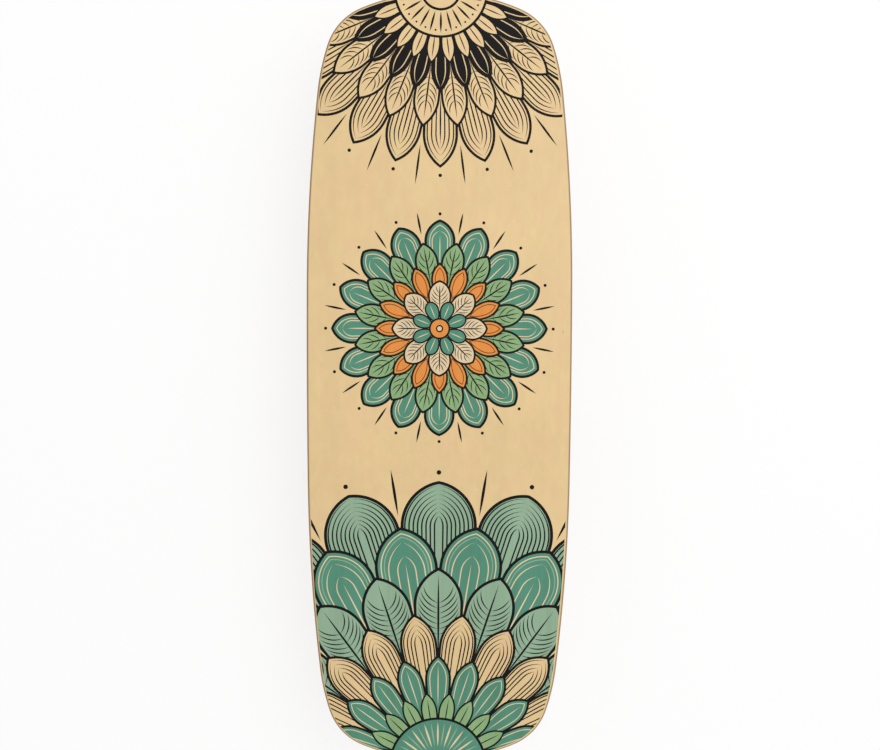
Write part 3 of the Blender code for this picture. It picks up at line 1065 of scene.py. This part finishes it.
def ribbed_strip(low, high, settings):
    """A rubber strip with rounded edges, and grooves in the side that the roller meets."""
    bm = bar(low, high)
    round_edges(bm, bm.edges[:], settings.strip_edge, segments=4)
    bm.normal_update()
    inward = Vector((0.0, -math.copysign(1.0, high.y), 0.0))
    field = max(bm.faces, key=lambda face: face.normal.dot(inward) * face.calc_area())
    bmesh.ops.inset_region(bm, faces=[field], thickness=RIB_BORDER, use_even_offset=True)
    heights = [vert.co.z for vert in field.verts]
    bottom, top = min(heights), max(heights)
    ends = upright_edges(field.edges)
    bmesh.ops.subdivide_edges(bm, edges=ends, cuts=2 * RIB_COUNT - 2, use_grid_fill=True)
    strips = []
    for face in bm.faces:
        middle = face.calc_center_bounds()
        if face.normal.dot(inward) > LEVEL_NORMAL and bottom < middle.z < top and abs(middle.x) < SAME_PLACE:
            strips.append((middle.z, face))
    strips.sort(key=lambda strip: strip[0])
    groove_rims = []
    for height, groove in strips[1::2]:
        groove_rims += groove.edges[:]
        sunk = bmesh.ops.extrude_discrete_faces(bm, faces=[groove])["faces"][0]
        move(bm, -settings.rib_depth * inward, sunk.verts[:])
    round_edges(bm, groove_rims, RIB_EDGE, segments=2)
    return bm


def threaded_shank(settings, length):
    """A screw's shank from under its head to its point, with one unbroken thread round it."""
    bm = bmesh.new()
    profile = []
    for turn in range(-1, math.ceil(length / settings.lead) + 1):
        for radius, share in ((SCREW_ROOT, 0.0), (SCREW_ROOT, 0.50), (settings.thread, 0.75)):
            profile.append((radius, 0.0, (turn + share) * settings.lead))
    verts, edges = draw_line(bm, profile)
    spin(bm, verts + edges, WHOLE_TURN, SCREW_SIDES, dvec=ALONG_Z * (settings.lead / SCREW_SIDES))
    weld(bm)
    for height, keep_above in ((SCREW_HEAD_HEIGHT, True), (length, False)):
        cut_level(bm, height, keep_above, close=False)
    for vert in bm.verts:
        radius = vert.co.xy.length
        grown = min(1.0, max(0.0, (vert.co.z - SCREW_PLAIN) / settings.lead))
        pointed = min(1.0, (length - vert.co.z) / SCREW_TIP)
        scale = (SCREW_ROOT + (radius - SCREW_ROOT) * grown) * pointed / radius
        vert.co = (vert.co.x * scale, vert.co.y * scale, vert.co.z)
    weld(bm)
    return bm


def wood_screw(settings, head, length):
    """A countersunk wood screw, standing at the origin with its point up."""
    bm = threaded_shank(settings, length)
    radius, height = SCREW_ROOT, SCREW_HEAD_HEIGHT
    for next_radius, next_height in ((head, SCREW_HEAD_RIM), (head, 0.0)):
        bmesh.ops.extrude_edge_only(bm, edges=open_edges(bm))
        verts = list(dict.fromkeys(vert for edge in open_edges(bm) for vert in edge.verts))
        scale = next_radius / radius
        bmesh.ops.scale(bm, vec=(scale, scale, 1.0), verts=verts)
        move(bm, (0, 0, next_height - height), verts)
        radius, height = next_radius, next_height
    bmesh.ops.contextual_create(bm, geom=open_edges(bm))
    return bm


def cross_recess():
    """The tapered cross that a driver fits, from just below a screw's head upwards."""
    bm = bmesh.new()
    bmesh.ops.create_grid(bm, x_segments=1, y_segments=1, size=RECESS_ARM / 2)
    for edge in bm.edges[:]:
        outward = (edge.verts[0].co + edge.verts[1].co).normalized()
        arm = verts_in(bmesh.ops.extrude_edge_only(bm, edges=[edge])["geom"])
        move(bm, outward * (RECESS_REACH - RECESS_ARM / 2), arm)
    thicken(bm, RECESS_DEPTH + HOLE_CLEARANCE)
    move(bm, (0, 0, -HOLE_CLEARANCE))
    deepest = [vert for vert in bm.verts if vert.co.z > 0.0]
    bmesh.ops.scale(bm, vec=(RECESS_TAPER, RECESS_TAPER, 1.0), verts=deepest)
    return bm


def rims(bm, distance, least_radius=0.0):
    """The edges that go round the ends of a piece turned about X, beyond a radius."""
    found = []
    for edge in bm.edges:
        start, end = (vert.co for vert in edge.verts)
        at_end = abs(start.x - end.x) < SAME_PLACE and abs(abs(start.x) - distance) < SAME_PLACE
        round_axis = abs(start.yz.length - end.yz.length) < SAME_PLACE
        if at_end and round_axis and start.yz.length > least_radius:
            found.append(edge)
    return found


def turned_ring(inner, outer, half_length, edge):
    """A ring turned about X, with rounded rims."""
    corners = [(inner, -half_length), (outer, -half_length), (outer, half_length), (inner, half_length)]
    bm = turned(corners, TUBE_SIDES, ALONG_X, ALONG_Z)
    round_edges(bm, rims(bm, half_length), edge, segments=4)
    return bm


def cork_sleeve(settings):
    """A cork sleeve with rounded ends, whose outside dips a little between its granules."""
    length = 2 * (ROLLER_HALF_LENGTH - 2 * settings.cork_edge)
    steps = math.ceil(length / CORK_STEP)
    profile = [(CORK_BORE, -ROLLER_HALF_LENGTH), (ROLLER_RADIUS, -ROLLER_HALF_LENGTH)]
    profile += [(ROLLER_RADIUS, length * (step / steps - 0.5)) for step in range(steps + 1)]
    profile += [(ROLLER_RADIUS, ROLLER_HALF_LENGTH), (CORK_BORE, ROLLER_HALF_LENGTH)]
    bm = turned(profile, CORK_SIDES, ALONG_X, ALONG_Z)
    outer_rims = rims(bm, ROLLER_HALF_LENGTH, CORK_BORE + SAME_PLACE)
    round_edges(bm, outer_rims, settings.cork_edge, segments=6)
    for vert in bm.verts:
        radius = vert.co.yz.length
        if radius > CORK_BORE + settings.cork_edge:
            dip = settings.unevenness * (0.5 + 0.5 * noise.noise(vert.co / settings.granule))
            scale = 1 - dip / radius
            vert.co = (vert.co.x, vert.co.y * scale, vert.co.z * scale)
    return bm


class BOARD_OT_deck_veneers(bpy.types.Operator):
    """Build the deck's nine veneers, cut from one blank with rounded edges"""

    bl_idname = "board.deck_veneers"
    bl_label = "Deck Veneers"
    bl_options = {"REGISTER", "UNDO"}

    def execute(self, context):
        settings = context.scene.board_deck
        grains = (settings.long_grain, settings.end_grain)
        outer = (birch_face_material(settings), "face_veneer")
        inner = (
            (veneer_edge_material("long_grain_edge", settings, *grains), "long_grain_veneer"),
            (veneer_edge_material("cross_grain_edge", settings, *reversed(grains)), "cross_grain_veneer"),
        )
        blank = deck_blank(settings, context.scene.board_print.film)
        cuts = [(below[1] + above[0]) / 2 for below, above in zip(PLY_LEVELS, PLY_LEVELS[1:])]
        screw_point = max(place.z + length for place, head, length in map(screw_box, SCREWS))
        for index, node in enumerate(PLY_NAMES):
            ply = blank.copy()
            if index > 0:
                cut_level(ply, cuts[index - 1] + settings.glue_line / 2, True)
            if index < len(cuts):
                cut_level(ply, cuts[index] - settings.glue_line / 2, False)
            material, slot = outer if index in (0, len(cuts)) else inner[index % 2]
            piece = add_piece(f"veneer_{index + 1}", ply, material, "deck", node, keep_flat=True)
            if PLY_LEVELS[index][0] < screw_point:
                drill_screw_holes(piece, context.scene.board_stops.thread)
        blank.free()
        return {"FINISHED"}


class BOARD_OT_deck_print(bpy.types.Operator):
    """Lay the ornament's inks on the deck, clipped to a margin inside its edge"""

    bl_idname = "board.deck_print"
    bl_label = "Deck Print"
    bl_options = {"REGISTER", "UNDO"}

    def execute(self, context):
        settings = context.scene.board_print
        wood = context.scene.board_deck.face
        art = bmesh.new()
        for rings, *layout in FLOWERS:
            merge_into(art, laid_flower(rings(), *layout))
        clip_to_outline(art, settings.margin, settings.side_shift)
        depth = settings.film * (1 + INK_BITE)
        for index, ink in enumerate(INKS):
            layer = art.copy()
            others = [face for face in layer.faces if face.material_index != index]
            bmesh.ops.delete(layer, geom=others, context="FACES")
            part_patches(layer)
            for face in layer.faces:
                face.material_index = 0
            move(layer, (0, 0, DECK_TOP - depth))
            thicken(layer, depth)
            show_through = 0.02 if ink == "black" else 0.10
            material = ink_material(f"{ink}_ink", getattr(settings, ink), wood, show_through)
            add_piece(f"{ink}_print", layer, material, "deck", keep_flat=True)
        art.free()
        return {"FINISHED"}


class BOARD_OT_end_stops(bpy.types.Operator):
    """Build the two end stops with rounded corners and countersunk screw holes"""

    bl_idname = "board.end_stops"
    bl_label = "End Stops"
    bl_options = {"REGISTER", "UNDO"}

    def execute(self, context):
        settings = context.scene.board_stops
        material = beech_material(settings)
        for end in ENDS:
            node = f"end_stop_{end}"
            low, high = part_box(node)
            bm = bar(low, high)
            round_edges(bm, upright_edges(bm.edges), settings.corner, segments=12)
            round_edges(bm, level_edges(bm, low.z), settings.edge, segments=5)
            piece = add_piece(f"stop_bar_{end}", bm, material, "deck", node, keep_flat=True)
            drill_screw_holes(piece, settings.thread, [screw for screw in SCREWS if end in screw])
        return {"FINISHED"}


class BOARD_OT_rubber_strips(bpy.types.Operator):
    """Build the grooved rubber strips on the inner sides of the stops"""

    bl_idname = "board.rubber_strips"
    bl_label = "Rubber Strips"
    bl_options = {"REGISTER", "UNDO"}

    def execute(self, context):
        settings = context.scene.board_stops
        material = rubber_material(settings)
        for end in ENDS:
            node = f"stop_pad_{end}"
            bm = ribbed_strip(*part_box(node), settings)
            add_piece(f"rubber_strip_{end}", bm, material, "deck", node)
        return {"FINISHED"}


class BOARD_OT_stop_screws(bpy.types.Operator):
    """Build the countersunk screws that hold the stops"""

    bl_idname = "board.stop_screws"
    bl_label = "Stop Screws"
    bl_options = {"REGISTER", "UNDO"}

    def execute(self, context):
        settings = context.scene.board_stops
        material = steel_material(settings)
        for screw in SCREWS:
            place, head, length = screw_box(screw)
            bm = wood_screw(settings, head, length)
            move(bm, place)
            node = f"stop_screw_{screw}"
            piece = add_piece(f"wood_screw_{screw}", bm, material, "deck", node)
            recess = cross_recess()
            move(recess, place)
            carve(piece, recess)
        return {"FINISHED"}


class BOARD_OT_roller_cork(bpy.types.Operator):
    """Build the roller's cork sleeve"""

    bl_idname = "board.roller_cork"
    bl_label = "Roller Cork"
    bl_options = {"REGISTER", "UNDO"}

    def execute(self, context):
        settings = context.scene.board_roller
        bm = cork_sleeve(settings)
        move(bm, ROLLER_AXIS)
        add_piece("cork_cover", bm, cork_material(settings), "roller", "roller_cork_sleeve")
        return {"FINISHED"}


class BOARD_OT_roller_core(bpy.types.Operator):
    """Build the roller's tube and the three discs inside it"""

    bl_idname = "board.roller_core"
    bl_label = "Roller Tube and Discs"
    bl_options = {"REGISTER", "UNDO"}

    def execute(self, context):
        settings = context.scene.board_roller
        half_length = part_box("roller_core_tube")[1].x
        bm = turned_ring(TUBE_INNER, TUBE_OUTER, half_length, settings.tube_edge)
        move(bm, ROLLER_AXIS)
        material = wound_tube_material(settings)
        add_piece("wound_tube", bm, material, "roller", "roller_core_tube")
        material = disc_material(settings)
        for place in ("end_disc_left", "middle_disc", "end_disc_right"):
            node = f"roller_{place}"
            low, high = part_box(node)
            bm = turned_ring(settings.pilot_hole, DISC_RADIUS, (high.x - low.x) / 2, settings.disc_edge)
            move(bm, ROLLER_AXIS + ALONG_X * ((low.x + high.x) / 2))
            add_piece(f"birch_{place}", bm, material, "roller", node)
        return {"FINISHED"}


def seen_directly(tree):
    """Whether a ray comes from the camera, from a gloss or through something clear."""
    path = add_node(tree, "LightPath").outputs
    seen = maths(tree, "MAXIMUM", path["Is Camera Ray"], path["Is Glossy Ray"])
    return maths(tree, "MAXIMUM", seen, path["Is Transmission Ray"])


def mixed_shader(tree, factor, first, second):
    """The result of a Mix Shader node."""
    return add_node(tree, "MixShader", {0: factor, 1: first, 2: second}).outputs[0]


def emptied(holder):
    """The node tree of a new material or world, with nothing in it."""
    holder.use_nodes = True
    holder.node_tree.nodes.clear()
    return holder.node_tree


def add_floor(settings):
    """A white floor that keeps a share of the shadow near the board, clear from below."""
    bm = bmesh.new()
    bmesh.ops.create_grid(bm, x_segments=1, y_segments=1, size=settings.floor_size / 2)
    floor = add_object("floor", mesh_from(bm, "floor"))
    material = bpy.data.materials.new("white_floor")
    floor.data.materials.append(material)
    tree = emptied(material)
    surface = add_node(tree, "BsdfDiffuse", {"Color": WHITE}).outputs[0]
    glow = add_node(tree, "Emission", {"Color": WHITE, "Strength": 1.0}).outputs[0]
    clear = add_node(tree, "BsdfTransparent").outputs[0]
    away = vector_maths(tree, "LENGTH", {0: place_vector(tree)}, "Value")
    plain = between(tree, away, settings.shadow_reach / 2, settings.shadow_reach, 1.0 - settings.shadow, 1.0)
    lit = mixed_shader(tree, times(tree, seen_directly(tree), plain), surface, glow)
    below = add_node(tree, "NewGeometry").outputs["Backfacing"]
    seen_below = times(tree, below, add_node(tree, "LightPath").outputs["Is Camera Ray"])
    add_node(tree, "OutputMaterial", {"Surface": mixed_shader(tree, seen_below, lit, clear)})


def light_world(settings):
    """Even light from all round, seen as white where a ray looks at it directly."""
    world = bpy.data.worlds.new("studio")
    bpy.context.scene.world = world
    tree = emptied(world)
    even, white = (
        add_node(tree, "Background", {"Color": WHITE, "Strength": strength}).outputs[0]
        for strength in (settings.ambient, 1.0)
    )
    add_node(tree, "OutputWorld", {"Surface": mixed_shader(tree, seen_directly(tree), even, white)})


def add_lamp(settings):
    """A large soft lamp above the deck's rear right."""
    lamp = bpy.data.lights.new("soft_lamp", "AREA")
    lamp.energy = settings.lamp_power
    lamp.shape = "SQUARE"
    lamp.size = settings.lamp_size
    holder = add_object("soft_lamp", lamp)
    holder.location = LAMP_PLACE
    toward = Vector((0, 0, DECK_TOP)) - holder.location
    holder.rotation_euler = toward.to_track_quat("-Z", "Y").to_euler()


def add_camera():
    """The camera, looking down on the deck."""
    data = bpy.data.cameras.new("camera")
    data.lens = CAMERA_LENS
    data.sensor_width = CAMERA_SENSOR
    camera = add_object("camera", data)
    camera.location = CAMERA_PLACE
    camera.rotation_euler = CAMERA_TURN
    bpy.context.scene.camera = camera


class BOARD_OT_stage(bpy.types.Operator):
    """Set the floor, the soft light and the camera"""

    bl_idname = "board.stage"
    bl_label = "Stage"
    bl_options = {"REGISTER", "UNDO"}

    def execute(self, context):
        settings = context.scene.board_stage
        add_floor(settings)
        light_world(settings)
        add_lamp(settings)
        add_camera()
        context.scene.view_settings.view_transform = "Standard"
        return {"FINISHED"}


SETTINGS = {
    "board_deck": DeckSettings,
    "board_print": PrintSettings,
    "board_stops": StopSettings,
    "board_roller": RollerSettings,
    "board_stage": StageSettings,
}
OPERATORS = (
    BOARD_OT_deck_veneers,
    BOARD_OT_deck_print,
    BOARD_OT_end_stops,
    BOARD_OT_rubber_strips,
    BOARD_OT_stop_screws,
    BOARD_OT_roller_cork,
    BOARD_OT_roller_core,
    BOARD_OT_stage,
)


class BOARD_PT_pieces(bpy.types.Panel):
    """The board's pieces, each with its button, and their sizes and colours"""

    bl_idname = "BOARD_PT_pieces"
    bl_label = "Balance Board"
    bl_space_type = "VIEW_3D"
    bl_region_type = "UI"
    bl_category = "Balance Board"

    def draw(self, context):
        column = self.layout.column(align=True)
        for operator in OPERATORS:
            column.operator(operator.bl_idname)
        for name, group in SETTINGS.items():
            box = self.layout.box()
            box.label(text=group.__doc__)
            for setting in group.__annotations__:
                box.prop(getattr(context.scene, name), setting)


def register():
    """Registers the settings, the operators and the panel."""
    for name, group in SETTINGS.items():
        bpy.utils.register_class(group)
        setattr(bpy.types.Scene, name, bpy.props.PointerProperty(type=group))
    for shown in (*OPERATORS, BOARD_PT_pieces):
        bpy.utils.register_class(shown)


def unregister():
    """Removes the panel, the operators and the settings."""
    for shown in (BOARD_PT_pieces, *reversed(OPERATORS)):
        bpy.utils.unregister_class(shown)
    for name, group in reversed(SETTINGS.items()):
        delattr(bpy.types.Scene, name)
        bpy.utils.unregister_class(group)


def main():
    """Builds every piece and the stage."""
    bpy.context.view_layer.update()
    register()
    for operator in OPERATORS:
        group, name = operator.bl_idname.split(".")
        getattr(getattr(bpy.ops, group), name)()
    bpy.context.view_layer.update()


if __name__ == "__main__":
    main()
